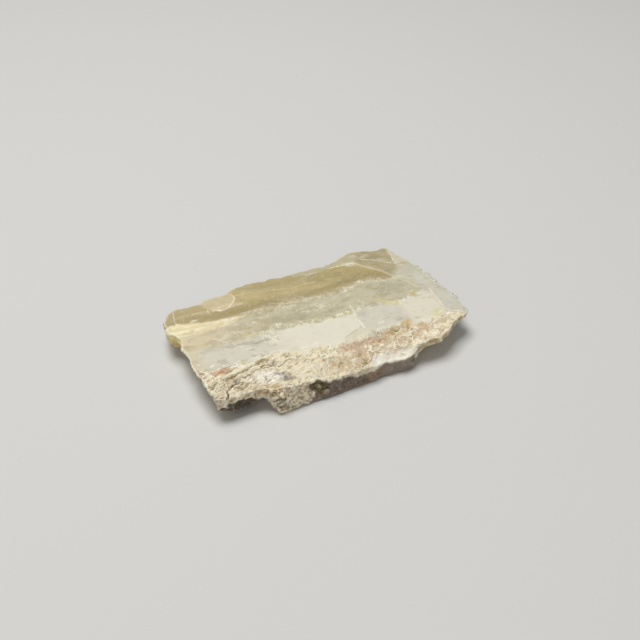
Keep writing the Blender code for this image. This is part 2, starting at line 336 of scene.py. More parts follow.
# %% Relief on the back, the lip and the walls
GLASSY_RIM = [
    (51.5, 24.5), (51.9, 20.9), (51.9, 18.4), (52.4, 15.1), (53, 12.9), (52.9, 9.3), (53.1, 5),
    (56, 5), (56, 26), (52, 26),
]
RECESS = [
    (18.7, 3.2), (19.4, 2.2), (21, 1.6), (22.8, 1.8), (23, 2.6), (21.8, 3.5), (20.6, 4.5),
    (19.4, 4.4),
]


def glass_ripples(places):
    """Faint steps and ripples that run round the hollows of the glassy back."""
    ragged = frayed_plan(places, 4.0, 1.2)
    steps = lumps(turned(ragged, -6.0, 4.0), 1.1, 40.0)
    hackles = strands(turned(ragged, 70.0, 3.0), 1.4, 0.08, 44.0)
    return steps * 0.05 + hackles * 0.04


def wall_shake(places):
    """Sideways moves for the walls: broad facets with finer breaks on them."""
    broad = np.array([noise.noise_vector(place) for place in (places / 0.9).tolist()])
    fine = np.array([noise.noise_vector(place) for place in (places / 0.33 + 7.0).tolist()])
    return broad * 0.16 + fine * 0.07


def flake_scars(places):
    """Scoops with sharp ridges between them, as on broken glass."""
    ragged = frayed(places, 1.6, 0.4)
    return 0.1 - np.abs(lumps(ragged, 1.9, 12.0)) * 0.4 - np.abs(lumps(ragged, 0.8, 4.0)) * 0.2


def crumbly_share(places):
    """1 where the front wall is crumbly, between x 11 and 20 mm."""
    between_ends = ramp(places[:, 0], 21.0, 19.0) * ramp(places[:, 0], 10.0, 11.5)
    return between_ends * ramp(places[:, 1], 6.0, 4.0)


def crumbs_of_wall(places):
    """Lumps with deep narrow gaps between them."""
    ragged = frayed(places, 0.9, 0.3)
    return np.abs(lumps(ragged, 1.0, 3.0)) * 0.7 + np.abs(lumps(ragged, 0.5, 8.0)) * 0.4 - 0.25


def lip_share(places):
    """1 at the lip of the front wall, between x 21 and 40 mm."""
    between_ends = ramp(places[:, 0], 19.0, 23.0) * ramp(places[:, 0], 41.0, 38.5)
    return between_ends * ramp(places[:, 1], 4.2, 1.4) * ramp(places[:, 2], 1.0, 3.4)


def recess_share(places):
    """1 in the dark hollow of the front wall, where a piece fell out."""
    moved = frayed(places, 0.9, 0.5)[:, [0, 2]]
    inside = ramp(depth_inside(RECESS, moved), -0.2, 0.5)
    return inside * ramp(places[:, 1], 4.0, 2.0)


# %% [markdown]
# ## Moving the skin
#
# Where the skin faces up it belongs to the top, and where it faces sideways to a wall. The moves
# fade into each other, so no tear opens. The foot is left alone, because the stone stands on it.

# %% Push the skin
TOP_OF_SLICE = 6.0
RIM_DROP, RIM_CHIPS = 0.15, 0.5
LIP_MOVE, RECESS_DEPTH = 0.35, 0.5
SLAB_IS_SMOOTHER = 0.7
WALL_MOVES_UP = 0.4


def mesh_arrays(mesh):
    """Positions in plan millimetres, and the normals."""
    positions = np.empty(len(mesh.vertices) * 3, np.float32)
    normals = np.empty(len(mesh.vertices) * 3, np.float32)
    mesh.vertices.foreach_get("co", positions)
    mesh.vertex_normals.foreach_get("vector", normals)
    positions = positions.reshape(-1, 3).astype(float)
    return plan_places(positions), normals.reshape(-1, 3).astype(float)


def sawn_share(places, normals):
    """1 on the flat sawn face, at the slice's full height."""
    flat = ramp(normals[:, 2], 0.97, 0.998)
    return flat * ramp(places[:, 2], TOP_OF_SLICE - 0.2, TOP_OF_SLICE - 0.05)


places, normals = mesh_arrays(opal.data)
along, across = places[:, 0], places[:, 1]
facing_up = ramp(normals[:, 2], 0.25, 0.7)
facing_side = 1.0 - ramp(np.abs(normals[:, 2]), 0.55, 0.9)
clear_of_foot = ramp(places[:, 2], 0.15, 1.0)
crust = crust_share(places)
sawn = sawn_share(places, normals)
behind = ramp(across - line_at(BACK_BORDER, along), -0.3, 0.5) * (1.0 - sawn)

lift = crust_relief(places) * crust * facing_up
lift += glass_ripples(places) * behind * facing_up
chipped = ramp(depth_inside(GLASSY_RIM, places), -0.1, 0.3)
lift -= (RIM_DROP + np.abs(lumps(places, 1.1, 50.0)) * RIM_CHIPS) * chipped * facing_up
crumbly = crumbly_share(places)
smooth_slab = ramp(along, 32.5, 34.0) * ramp(along, 41.0, 40.0) * ramp(across, 3.0, 2.0)
roughness = 1.0 - SLAB_IS_SMOOTHER * smooth_slab
scars = flake_scars(places) * (1.0 - crumbly) + crumbs_of_wall(places) * crumbly
shake = wall_shake(places) * roughness[:, None]
shake += normals * (scars * roughness)[:, None]
moves = shake * (facing_side * clear_of_foot)[:, None]
moves[:, 2] = moves[:, 2] * WALL_MOVES_UP + lift * clear_of_foot
lip = lip_share(places)
moves[:, 1] -= lip * LIP_MOVE
moves[:, 2] -= lip * LIP_MOVE
moves[:, 1] += recess_share(places) * facing_side * RECESS_DEPTH

positions = np.empty(len(opal.data.vertices) * 3, np.float32)
opal.data.vertices.foreach_get("co", positions)
positions = positions.reshape(-1, 3) + (moves * MM).astype(np.float32)
opal.data.vertices.foreach_set("co", positions.ravel())
opal.data.update()
print("largest move, mm:", round(float(np.abs(moves).max()), 2))

# %% [markdown]
# ## Fewer triangles underneath
#
# The underside is flat and lies on the table, so it needs no fine squares. Collapsing edges only
# there leaves more of them for the top, where the colours are stored point by point.

# %% Thin the underside
MOST_TRIANGLES = 195_000
NEAR_THE_TABLE = 0.02

underside = opal.vertex_groups.new(name="underside")
flat_below = np.nonzero((normals[:, 2] < -0.99) & (places[:, 2] < NEAR_THE_TABLE))[0]
underside.add(flat_below.tolist(), 1.0, "REPLACE")
thin = opal.modifiers.new("thin", "DECIMATE")
thin.vertex_group = underside.name
thin.ratio = min(1.0, MOST_TRIANGLES / (2.0 * len(opal.data.polygons)))
apply_modifiers(opal)
opal.data.shade_smooth()
opal.data.calc_loop_triangles()
print("skin:", len(opal.data.loop_triangles), "triangles")

# %% [markdown]
# ## Ridges and hollows
#
# Hollows get painted shade, and thin ridges and the stone's edges get painted highlights.
# Both are found by comparing the skin with a smoothed copy of itself. A few rounds of smoothing
# find the fine relief, many find the stone's own edges.

# %% Find ridges and hollows
FINE_ROUNDS, EVEN_ROUNDS, BROAD_ROUNDS = 4, 6, 26


def edge_pairs(mesh):
    pairs = np.empty(len(mesh.edges) * 2, np.int64)
    mesh.edges.foreach_get("vertices", pairs)
    return pairs.reshape(-1, 2)


def evened(values, pairs, rounds):
    """Each point takes the mean of its neighbours, as many times as asked."""
    first, second, count = pairs[:, 0], pairs[:, 1], len(values)
    neighbours = np.bincount(first, minlength=count) + np.bincount(second, minlength=count)
    for _ in range(rounds):
        columns = []
        for column in values.T:
            total = np.bincount(first, column[second], count)
            columns.append(total + np.bincount(second, column[first], count))
        values = np.stack(columns, axis=1) / neighbours[:, None]
    return values


places, normals = mesh_arrays(opal.data)
pairs = edge_pairs(opal.data)
smoothed = evened(places, pairs, FINE_ROUNDS)
fine_ridge = ((places - smoothed) * normals).sum(axis=1)
even_normals = evened(normals, pairs, EVEN_ROUNDS)
broad_ridge = ((places - evened(smoothed, pairs, BROAD_ROUNDS)) * even_normals).sum(axis=1)
print("fine relief, mm:", fine_ridge.min().round(3), fine_ridge.max().round(3))
print("broad relief, mm:", broad_ridge.min().round(3), broad_ridge.max().round(3))

# %% [markdown]
# ## Marks on the stone
#
# Each mark is a line or an outline in the plan. For thin lines the distance to them is stored, not
# a share: it stays exact between the points, so the material can draw a line thinner than the
# skin's squares.

# %% Bright lines
# The ridge line is a painted highlight along a ridge of the broken back.
RIDGE_HIGHLIGHT = [
    (40.4, 29.2), (41.4, 27.6), (42.8, 25.4), (44.4, 23.5), (45.6, 20.8), (47.2, 18.2),
    (48.1, 15.9),
]
SHORT_LINE = [(42.6, 29.2), (45.5, 27.7), (46.4, 26.9), (48.4, 25.1), (49.3, 24.2)]
RIGHT_CRACK = [(49.8, 14.5), (49.8, 11.8), (49.7, 8.1), (50.2, 7), (51.5, 6.5), (52.7, 6.3)]
RIM_STEP = [
    (51.5, 22.5), (51.9, 20.9), (51.9, 18.4), (52, 16.5), (52.4, 15.1), (53, 12.9), (52.9, 9.3),
    (53.1, 7.3),
]
PEAK_BORDER = [(49.2, 30.6), (49.2, 28.8), (48.5, 26.6), (48.4, 25.1)]
TONGUE_EDGE = [(9.7, 25.4), (11.2, 24.9), (12.5, 25), (13.9, 26.1), (14.8, 27.6), (14.5, 29.2)]
# The two lip lines are painted highlights along lips of the broken back.
TIP_LIP = [(2.2, 25.6), (4, 25.8), (6.1, 25.7), (9.7, 25.4)]
LIP_HIGHLIGHT = [(15.2, 28.2), (18.4, 28.3), (21.9, 27.5), (26, 26.4), (28.3, 26.5), (30.9, 26.1)]
TIP_CRACK = [(2.8, 28.4), (2.3, 26.5), (2, 24.5)]
FACE_CRACK = [(33.6, 15.8), (33.5, 13), (33.4, 11), (33.3, 8.9)]
SECOND_CREAM = [(2.6, 19.9), (5.7, 19.9), (9.6, 19.6), (11.2, 19.7), (13.6, 18.9), (16.2, 18.1)]
BACK_RIM_LINE = [(30.5, 29.9), (34.5, 29.4), (38.6, 29.2), (40.8, 28.8)]
# Two of these are bright cracks; the rest are painted highlights along edges.
CRACKS_AND_EDGE_HIGHLIGHTS = [
    SHORT_LINE, RIGHT_CRACK, RIM_STEP, PEAK_BORDER, TONGUE_EDGE, FACE_CRACK, BACK_RIM_LINE,
]
FAINT_VEINS = [
    TIP_CRACK, SECOND_CREAM,
    [(6.2, 18), (7.6, 16.7), (9.1, 15.1), (10.1, 14.1), (11.9, 11.4), (13.6, 9.4)],
    [(5.9, 14.6), (8, 13.8), (11.2, 12.3), (14, 11.6)],
]
SHADOW_LINES = [
    [(33, 9.5), (31.4, 8.9), (29.2, 8), (28.9, 7.3), (28.6, 6.7)],
    [(33.2, 19.6), (34.6, 19.7), (35.2, 20.1), (36.3, 20.4)],
]

fields = {}
crisp = frayed_plan(places, 0.8, 0.14)
for name, marks in {
    "line_distance": CRACKS_AND_EDGE_HIGHLIGHTS, "ridge_highlight_distance": [RIDGE_HIGHLIGHT],
    "lip_highlight_distance": [LIP_HIGHLIGHT, TIP_LIP], "shadow_distance": SHADOW_LINES,
    "vein_distance": FAINT_VEINS,
}.items():
    fields[name] = np.min([distance_to(line, crisp) for line in marks], axis=0)
print("points on a bright line:", int((fields["line_distance"] < 0.12).sum()))

# %% [markdown]
# ## Bands
#
# From front to back come a milky band, a grey and tan band and the brown glass, with a cream wedge
# before it at the left end. What is stored is how far a point lies behind each border.

# %% Band borders
MILK_BORDER = [
    (0, 15.2), (4.8, 15.3), (7.5, 15.1), (10, 14.8), (17, 14.9), (20, 14.4), (24.8, 14.2),
    (26.5, 13.5), (28.5, 13.8), (30, 13.2), (33.4, 13.4), (34, 14.1), (38.4, 13.9), (40, 13.4),
    (42, 12.4), (43.2, 13.3), (45.4, 13.5), (46.6, 14.3), (54.5, 14.4),
]
TAN_BORDER = [
    (0, 24.3), (1.9, 24), (5.3, 23.4), (8.7, 22.3), (11.8, 21.8), (15, 21.6), (20, 21.1),
    (23, 20.7), (27, 20.9), (30, 20.5), (33, 20.6), (36, 21), (38.5, 21.9), (41, 21.2), (43, 20.8),
    (46, 20.4), (54.5, 20.4),
]
CREAM_WEDGE = [
    (-1, 24.6), (-1, 20.4), (2.6, 19.9), (6, 20), (10, 19.9), (12, 20.2), (15.6, 21.4),
    (11.8, 21.9), (8.7, 22.4), (5.3, 23.5), (1.9, 24.2),
]
BRIGHT_PATCH = [
    (33.4, 14.2), (33.3, 9.6), (31.2, 8.9), (29.9, 8.3), (28.9, 7.8), (28.3, 6.2), (24, 6),
    (19, 6.6), (14, 9), (14, 14.6), (22, 14.4), (26.5, 13.6),
]
RIGHT_MILK = [
    (42.4, 13.4), (42.3, 10), (43, 6), (45, 5.6), (49.7, 6.6), (49.8, 14.4), (46.6, 14.2),
    (45.4, 13.6),
]

soft = frayed_plan(places, 1.1, 0.45)
fields["over_milk"] = soft[:, 1] - line_at(MILK_BORDER, soft[:, 0])
fields["over_tan"] = soft[:, 1] - line_at(TAN_BORDER, soft[:, 0])
fields["back_depth"] = crisp[:, 1] - line_at(TAN_BORDER, crisp[:, 0])
fields["cream_wedge"] = in_outline(CREAM_WEDGE, soft, 0.35)
patch = in_outline(BRIGHT_PATCH, crisp, 0.3)
fields["patch"] = patch * ramp(soft[:, 0], 15.5, 20.5)
fields["right_milk"] = in_outline(RIGHT_MILK, soft, 1.0)
fields["past_crack"] = ramp(crisp[:, 0], 33.3, 33.6)
print("points behind the milky band:", int((fields["over_milk"] > 0.0).sum()))

# %% [markdown]
# ## Frost
#
# Fine white threads gather along the borders of the bands, as hoar frost does along a crack. The
# share stored here says where they are thick, and the material draws them.

# %% Where the frost is
FROST_SPOTS = [
    (17, 13.4, 2.6, 2.6, 0), (19, 15.8, 1.6, 0.8, 0), (31, 14, 2.6, 0.7, 0),
    (23.4, 8, 1.2, 0.8, 30), (20.8, 8.2, 1.2, 0.7, 40), (35.4, 20.4, 2, 0.6, 20),
    (38.6, 21.8, 0.9, 0.7, 0), (44.6, 13.3, 2.4, 0.5, 0), (39.6, 28.8, 1.8, 0.8, -20),
    (11, 21.3, 5, 0.5, -6), (8.6, 9.2, 1.2, 0.5, 20), (4.2, 10.4, 0.6, 0.3, 20),
    (6.2, 9.8, 0.4, 0.3, 50), (12.2, 9.4, 1.6, 0.5, 10), (48, 7.2, 1.6, 0.6, 0),
    (50.6, 6.4, 1.4, 0.3, 0),
]
FAINT_FROST = [(20.6, 20.8, 7, 2.4, 0), (27, 18, 5, 1.6, -10), (10, 16.8, 3, 1, 0)]


def spot_share(spots, on):
    """1 in the middle of a spot, 0 outside every spot.

    A spot is an ellipse: along, across, half length, half width, and its turn in degrees."""
    share = np.zeros(len(on))
    for along, across, half_length, half_width, angle in spots:
        turn = math.radians(angle)
        run, rise = on[:, 0] - along, on[:, 1] - across
        length = (run * math.cos(turn) + rise * math.sin(turn)) / half_length
        width = (rise * math.cos(turn) - run * math.sin(turn)) / half_width
        share = np.maximum(share, ramp(np.hypot(length, width), 1.2, 0.4))
    return share


along_milk = ramp(np.abs(fields["over_milk"] - 0.3), 1.1, 0.2) * ramp(places[:, 0], 4.0, 12.0)
along_tan = ramp(np.abs(fields["over_tan"]), 1.0, 0.2) * ramp(places[:, 0], 13.0, 17.0)
past_crust = soft[:, 1] - line_at(CRUST_BORDER, soft[:, 0])
along_crust = ramp(np.abs(past_crust - 0.2), 0.9, 0.1) * ramp(places[:, 0], 8.0, 20.0)
past_frost = ramp(places[:, 0], 48.5, 46.0)
patchy = ramp(lumps(on_plan(places), 3.4, 25.0), -0.3, 0.25) * 0.6 + 0.4
frost = np.max((along_milk * 0.85, along_tan * 0.7, along_crust * 0.9), axis=0)
frost = frost * past_frost * patchy
frost = np.maximum(frost, spot_share(FROST_SPOTS, soft))
fields["frost"] = np.maximum(frost, spot_share(FAINT_FROST, soft) * 0.5)
print("points with frost:", int((fields["frost"] > 0.5).sum()))

# %% [markdown]
# ## Facets and the broken back
#
# The facets are in the solid already, but each has its own tint. An outline a little larger than
# each is enough here, because its edge is drawn by the painted highlight along it.

# %% Facets
FACETS = {
    "facets": (soft, 1.0, [
        (45.4, 20.8), (47.2, 18.2), (48.1, 15.9), (49.7, 14.4), (49.7, 8.1), (52.7, 6), (56, 6),
        (56, 26.4), (51.4, 25.8), (48.6, 24.6), (47.6, 23.4), (46.2, 22.4),
    ]),
    "tan_facet": (soft, 0.7, [
        (41, 28.6), (42.8, 25.4), (44.4, 23.5), (45.2, 21.2), (46.2, 22.2), (47.6, 23.3),
        (48.6, 24.6), (49.2, 28.8), (49.2, 34), (42, 34),
    ]),
    "white_corner": (crisp, 0.35, [
        (48.4, 25.1), (48.5, 26.6), (49.2, 28.8), (49.2, 31.4), (52, 31), (51.6, 25.6),
    ]),
    "pale_rim": (crisp, 0.3, [
        (28, 30.6), (30.5, 30), (34.5, 29.5), (38.6, 29.3), (40.8, 28.9), (41.6, 30), (43, 31),
        (44, 33), (28, 33),
    ]),
    "glassy_rim": (crisp, 0.15, GLASSY_RIM),
    "tongue": (crisp, 0.15, [
        (6.8, 31), (8, 28.2), (8.8, 26.2), (9.7, 25.4), (11.2, 24.9), (12.5, 25), (13.9, 26.1),
        (14.8, 27.6), (14.5, 29.2), (13, 31),
    ]),
    "left_tip": (crisp, 0.3, [
        (-2, 31), (-2, 24.8), (2, 24.8), (6.1, 25.6), (9, 25.4), (8, 28.2), (6.8, 31),
    ]),
    "near_crust": (crisp, 0.35, [
        (28.8, 7.6), (30, 8.3), (31.2, 8.9), (33.3, 9.6), (34.6, 8.8), (35, 7), (31, 6),
        (28.6, 6.2),
    ]),
}
for name, (on, fade, outline) in FACETS.items():
    fields[name] = in_outline(outline, on, fade)
fields["crust"] = crust_share(places)
fields["steep"] = 1.0 - ramp(np.abs(even_normals[:, 2]), 0.35, 0.75)
print("points on the pale facets:", int((fields["facets"] > 0.5).sum()))

# %% [markdown]
# ## The front wall
#
# From left to right the old break in front has a dark glassy lobe, a crumbly cream part, a dark
# hollow, mauve and brown grit, and a smooth slab. These outlines are drawn on the wall itself:
# along the stone, and up.

# %% Parts of the front wall
CRUST_FOOT = [
    (0, 3.2), (3.6, 3.1), (5, 4), (7.6, 3.9), (9.2, 3.2), (10.6, 2.6), (12.4, -1), (17.8, -1),
    (19.6, 1.8), (20.4, 3.6), (21.2, 3.9), (22.6, 3.7), (25, 3.5), (27, 2.9), (29, 2.7),
    (31.5, 2.7), (33.4, 2.9), (36, 3.1), (39.5, 3.3), (40.4, 2), (41.5, 0), (54.5, 0),
]
OLIVE_PATCH = [(12.3, 1), (14.8, 1.1), (14.5, 3.2), (12.7, 3.6)]
wall_frayed = frayed(places, 0.9, 0.5)[:, [0, 2]]
facing_front = ramp(-even_normals[:, 1], 0.25, 0.55) * ramp(places[:, 1], 9.0, 7.0)
wall = facing_front * ramp(even_normals[:, 2], 0.68, 0.45) * ramp(places[:, 0], 40.8, 40.0)
fields["wall"] = wall
fields["wall_along"] = frayed(places, 1.2, 1.1)[:, 0]
fields["top"] = ramp(even_normals[:, 2], 0.3, 0.6)
under_foot = line_at(CRUST_FOOT, wall_frayed[:, 0]) - wall_frayed[:, 1]
fields["below_crust"] = wall * ramp(under_foot, -0.15, 0.2)
fields["recess"] = wall * in_outline(RECESS, wall_frayed, 0.6)
fields["olive_patch"] = wall * in_outline(OLIVE_PATCH, wall_frayed, 0.35)
fields["slab"] = wall * ramp(wall_frayed[:, 0], 33.0, 33.6)
fields["lip"] = ramp(broad_ridge, 0.02, 0.14) * ramp(places[:, 1], 5.0, 3.0)
# Where the painted highlight runs along the top's rim.
rim = ramp(even_normals[:, 2], 0.4, 0.6) * ramp(even_normals[:, 2], 0.93, 0.8)
fields["rim"] = rim * ramp(places[:, 2], 3.0, 4.5) * (1.0 - fields["crust"])
print("points on the front wall:", int((wall > 0.5).sum()))

# %% [markdown]
# ## Spots
#
# Small stains of many colours lie in the crust and along the bands. Each is an ellipse, frayed by
# noise. The colour of each kind comes later, so it can be changed without moving anything.

# %% Spots
SPOTS = {
    "orange": [(46.3, 14.3, 0.7, 0.7, 30), (41.2, 7.3, 1.3, 0.8, 20), (43.4, 6, 0.7, 0.5, 0)],
    "ochre": [
        (38.4, 6.4, 3.6, 1.5, 8), (36.4, 5.4, 2.4, 1.1, 10), (26.2, 3.2, 2.6, 1.5, -8),
        (29.8, 2.4, 1.8, 0.9, 15), (11.6, 1.8, 3, 1.1, -8),
    ],
    "pale": [
        (39.4, 28.8, 1.8, 0.8, -30), (43.4, 30.2, 1.6, 0.6, 20), (41.4, 31, 1.2, 0.7, 0),
        (46.6, 27.8, 1.6, 0.6, -25), (35.6, 21, 1.4, 0.35, 12), (38.8, 22.2, 0.6, 0.4, 40),
        (19, 8.4, 1.6, 0.9, 30), (22.3, 7.2, 2.2, 0.8, 0),
    ],
    "ice": [(51.4, 10.5, 1.7, 3.8, 0), (52.4, 6.4, 1.4, 0.6, 10), (50.2, 18, 1.2, 3, 0)],
    "tip_glass": [(54.2, 5, 2.2, 2.3, 0), (53, 3.1, 1.6, 1.8, 0)],
    "fleck": [
        (4.3, 10.5, 0.55, 0.12, 25), (6.2, 9.8, 0.3, 0.16, 60), (8.4, 9.5, 0.3, 0.2, 60),
        (2.3, 11.5, 0.5, 0.1, 60), (1.6, 15.5, 0.4, 0.12, 70), (5.6, 24.1, 0.5, 0.16, 0),
        (2.9, 9.4, 0.5, 0.1, -50), (18.8, 16.2, 0.5, 0.16, 70), (15.3, 18.6, 0.4, 0.14, 0),
        (38.4, 21.8, 0.35, 0.2, 0), (36.9, 9, 0.6, 0.1, 30), (44.8, 8.8, 0.3, 0.12, 0),
    ],
    "warm": [(18.6, 26.6, 5, 1.5, -10), (25.6, 25.4, 4.6, 1.2, -10), (31, 24.3, 3.6, 0.8, -4)],
    "yellow": [
        (39.4, 15, 1.1, 0.8, 0), (41.4, 13.5, 2, 0.9, -25), (47.6, 7.2, 1.9, 1.1, 20),
        (13.4, 15.6, 1.5, 0.35, 0), (25.9, 14.8, 0.7, 0.45, 0), (32.4, 14.2, 1, 0.3, 0),
        (19.6, 6.2, 1, 0.8, 0), (9.4, 9, 1, 0.4, 0), (21.4, 4.6, 1.2, 0.7, 10),
    ],
    "pink": [
        (29.4, 5.6, 2.8, 2.2, 15), (33.2, 5.8, 2.2, 0.9, 0), (43.6, 4.8, 2.6, 0.8, 10),
        (26.8, 6.2, 1, 0.5, 0),
    ],
    "red": [(5.3, 8.3, 1.9, 0.8, 4)],
    "olive": [
        (7.5, 3.9, 1.5, 0.5, 5), (12.8, 8.3, 1.5, 0.35, 12), (8, 6.9, 2.8, 0.2, 16),
        (26.6, 0.2, 1.2, 0.5, 0), (30.2, 2.2, 1, 0.45, 30), (38.4, 6.2, 1.2, 0.35, 10),
    ],
    "mauve": [
        (15, 4.3, 1.9, 0.5, -20), (15.7, 3.1, 1.6, 0.6, -10), (7.2, 5.5, 0.9, 0.35, 20),
        (3.4, 2.7, 0.6, 0.5, 0), (14.6, 7.1, 0.9, 0.5, 10), (10.2, 5.6, 0.9, 0.25, 12),
    ],
    "white": [
        (12.8, 4.4, 3.2, 1.5, -14), (10.2, 5.5, 1.6, 0.6, 0), (36.2, 1.2, 5.4, 1.8, 0),
        (33.4, 2.4, 2.2, 0.9, 15), (8.6, 8.7, 1.2, 0.5, 0), (12, 9, 1.2, 0.5, 0),
    ],
    "grey": [
        (6.4, 16.4, 1.5, 0.7, 0), (16.4, 16, 1, 0.5, 0), (24.2, 17.2, 1.2, 2.4, 0),
        (33.8, 17.7, 1.6, 0.6, 5), (30.6, 16, 2.4, 0.8, 0), (20, 17.6, 4, 1.2, -8),
        (42.4, 17.6, 2.2, 2.2, 0), (13, 13.4, 5, 0.5, -12),
    ],
}
HOLES_BY_THE_CRACK = [(4.5, 2.7, 0.35, 0.4, 0), (5.7, 2.2, 0.7, 0.25, -10)]
AMBER_LOBE = [(0.2, 20.6, 2.4, 3.4, 0)]

spot_places = frayed_plan(places, 0.9, 0.45)
for name, spots in SPOTS.items():
    fields[name] = spot_share(spots, spot_places)
fields["lobe"] = spot_share(AMBER_LOBE, on_plan(places)) * fields["steep"]
print("kinds of spot:", len(SPOTS), "- spots:", sum(len(spots) for spots in SPOTS.values()))

# %% [markdown]
# ## Storing the fields
#
# The material can't see these arrays, but it can read attributes stored on the mesh. The relief's
# own shares are stored too, so that every strand and pit gets its paint exactly where it stands.

# %% Store the fields
ridge, crack = ridge_and_crack(places)
holes = spot_share(HOLES_BY_THE_CRACK, spot_places) * 0.9
fields |= {
    "dark_crack": np.maximum(crack, holes) * fields["crust"],
    "diagonal_ridge": ridge * fields["crust"],
    "groove": groove_share(places) * fields["crust"],
    "strand": crust_strands(places), "pit": crust_pits(places),
    "fine_ridge": fine_ridge, "broad_ridge": broad_ridge,
    "height": places[:, 2], "along": places[:, 0],
}

for name, values in fields.items():
    stored = opal.data.attributes.new(name, "FLOAT", "POINT")
    stored.data.foreach_set("value", values.astype(np.float32))
print(len(fields), "fields stored")

# %% [markdown]
# ## The stone's colours
#
# The colours are mixed in nodes, one layer of paint over another. Each layer is a colour, written
# from 0 to 255 as on a painter's chart, and a share. A few small functions make the nodes, because
# the same kinds are needed some hundreds of times.

# %% Nodes that mix paint
opal_finish = bpy.data.materials.new("banded_opal_fine")
opal_finish.use_nodes = True
nodes, links = opal_finish.node_tree.nodes, opal_finish.node_tree.links
shader = nodes["Principled BSDF"]


def colour(red, green, blue):
    """A colour from 0 to 255, as light."""
    light = []
    for part in (red, green, blue):
        part /= 255.0
        light.append(part / 12.92 if part <= 0.04045 else ((part + 0.055) / 1.055) ** 2.4)
    return (*light, 1.0)


def fill(socket, value):
    """Links a node's output or a field, given by its name, or writes a plain value."""
    if isinstance(value, str):
        value = new_node("Attribute", {}, attribute_name=value).outputs["Fac"]
    if isinstance(value, bpy.types.NodeSocket):
        links.new(value, socket)
    else:
        socket.default_value = value


def new_node(kind, given, **settings):
    """A node with these settings. What is given goes into its inputs."""
    node = nodes.new("ShaderNode" + kind)
    for name, value in settings.items():
        setattr(node, name, value)
    for name, value in given.items():
        fill(node.inputs[name], value)
    return node


def calculate(operation, first, second=0.0):
    return new_node("Math", {0: first, 1: second}, operation=operation).outputs[0]


def product(first, *others):
    """Several shares multiplied together."""
    for other in others:
        first = calculate("MULTIPLY", first, other)
    return first


def either(first, *others):
    """The largest of several shares."""
    for other in others:
        first = calculate("MAXIMUM", first, other)
    return first


def paint(under, over, share):
    return new_node("Mix", {0: share, 6: under, 7: over}, data_type="RGBA").outputs[2]


def layered(under, *layers):
    """Layers over each other, the lowest first: (colour, share, share, ...).

    A layer's shares are multiplied together. The last is a number where it is weak."""
    for tone, *shares in layers:
        under = paint(under, colour(*tone), product(*shares))
    return under


def blend_numbers(under, over, share):
    return new_node("Mix", {0: share, 2: under, 3: over}).outputs[0]


# %% [markdown]
# ## Shares in nodes
#
# A share is a stored field, given by its name, or noise that the material works out from the place
# in the stone. That noise runs on round every edge, and can be far finer than the skin's squares.

# %% Nodes that make shares
def sharpen(value, start, end, to_start=0.0, to_end=1.0):
    """Turns the stretch from start to end into a smooth step."""
    given = dict(enumerate((value, start, end, to_start, to_end)))
    return new_node("MapRange", given, interpolation_type="SMOOTHSTEP").outputs[0]


def along_stone(start, end, to_start=0.0, to_end=1.0):
    """A share that changes between two places along the stone, in millimetres."""
    return sharpen("along", start, end, to_start, to_end)


stone_place = nodes.new("ShaderNodeTexCoord").outputs["Object"]


def grain(spread, detail=3.0, stretch=1.0, angle=0.0, warp=0.0, widen=1.0):
    """Noise from 0 to 1, with its lumps about spread millimetres apart.

    They are stretched along a line that is turned by angle degrees from the bands."""
    rotation = (0.0, 0.0, math.radians(angle))
    scale = [spread * MM * part for part in (stretch, widen, 1.0)]
    given = {"Vector": stone_place, "Rotation": rotation, "Scale": scale}
    place = new_node("Mapping", given, vector_type="TEXTURE").outputs[0]
    given = {"Vector": place, "Scale": 1.0, "Detail": detail, "Distortion": warp}
    return new_node("TexNoise", given).outputs[0]


def threads(spread, width, stretch=1.0, angle=0.0, warp=0.6):
    """1 on thin winding threads: where soft noise passes its middle."""
    noise_share = grain(spread, 1.0, stretch, angle, warp)
    off_middle = calculate("ABSOLUTE", calculate("SUBTRACT", noise_share, 0.5))
    return sharpen(off_middle, width, 0.0)


def banding(value, *steps):
    """A row of colours along a value from 0 to 1: (place, red, green, blue)."""
    node = new_node("ValToRGB", {0: value})
    stops = node.color_ramp.elements
    while len(stops) < len(steps):
        stops.new(0.5)
    for stop, (place, *tone) in zip(stops, steps):
        stop.position = place
        stop.color = colour(*tone)
    return node.outputs[0]


def count_layers(part):
    layers = sum(node.bl_idname == "ShaderNodeMix" for node in nodes)
    print("painted", part, "- layers and blends so far:", layers)


# %% [markdown]
# ## The milky band
#
# The band nearest the crust is milk-white opal, clouded like a jelly, warm at the left end and
# greyer past the crack. A plain colour would look like plastic, so soft clouds lie over each other
# in it.

# %% The milky band
clouds = sharpen(grain(2.4, 3.0, 2.5, 4.0), 0.45, 0.7)
milk = layered(
    colour(215, 209, 190),
    ((200, 194, 172), clouds),
    ((214, 201, 170), along_stone(4.5, 1.5, 0.0, 0.9)),
    ((213, 208, 192), "past_crack", 0.75),
    ((226, 219, 198), "right_milk"),
    ((229, 223, 203), "patch"),
    ((206, 203, 190), sharpen(grain(1.6, 2.0, widen=1.6), 0.6, 0.75, 0.0, 0.35)),
)
count_layers("the milky band")

# %% [markdown]
# ## The grey and tan band, and the cream wedge
#
# The next band changes slowly from cream at the left to grey-green at the right. A row of colours
# along the stone does that, and mottling breaks it up. The wedge between this band and the brown
# glass is nearly yellow, with long streaks in it.

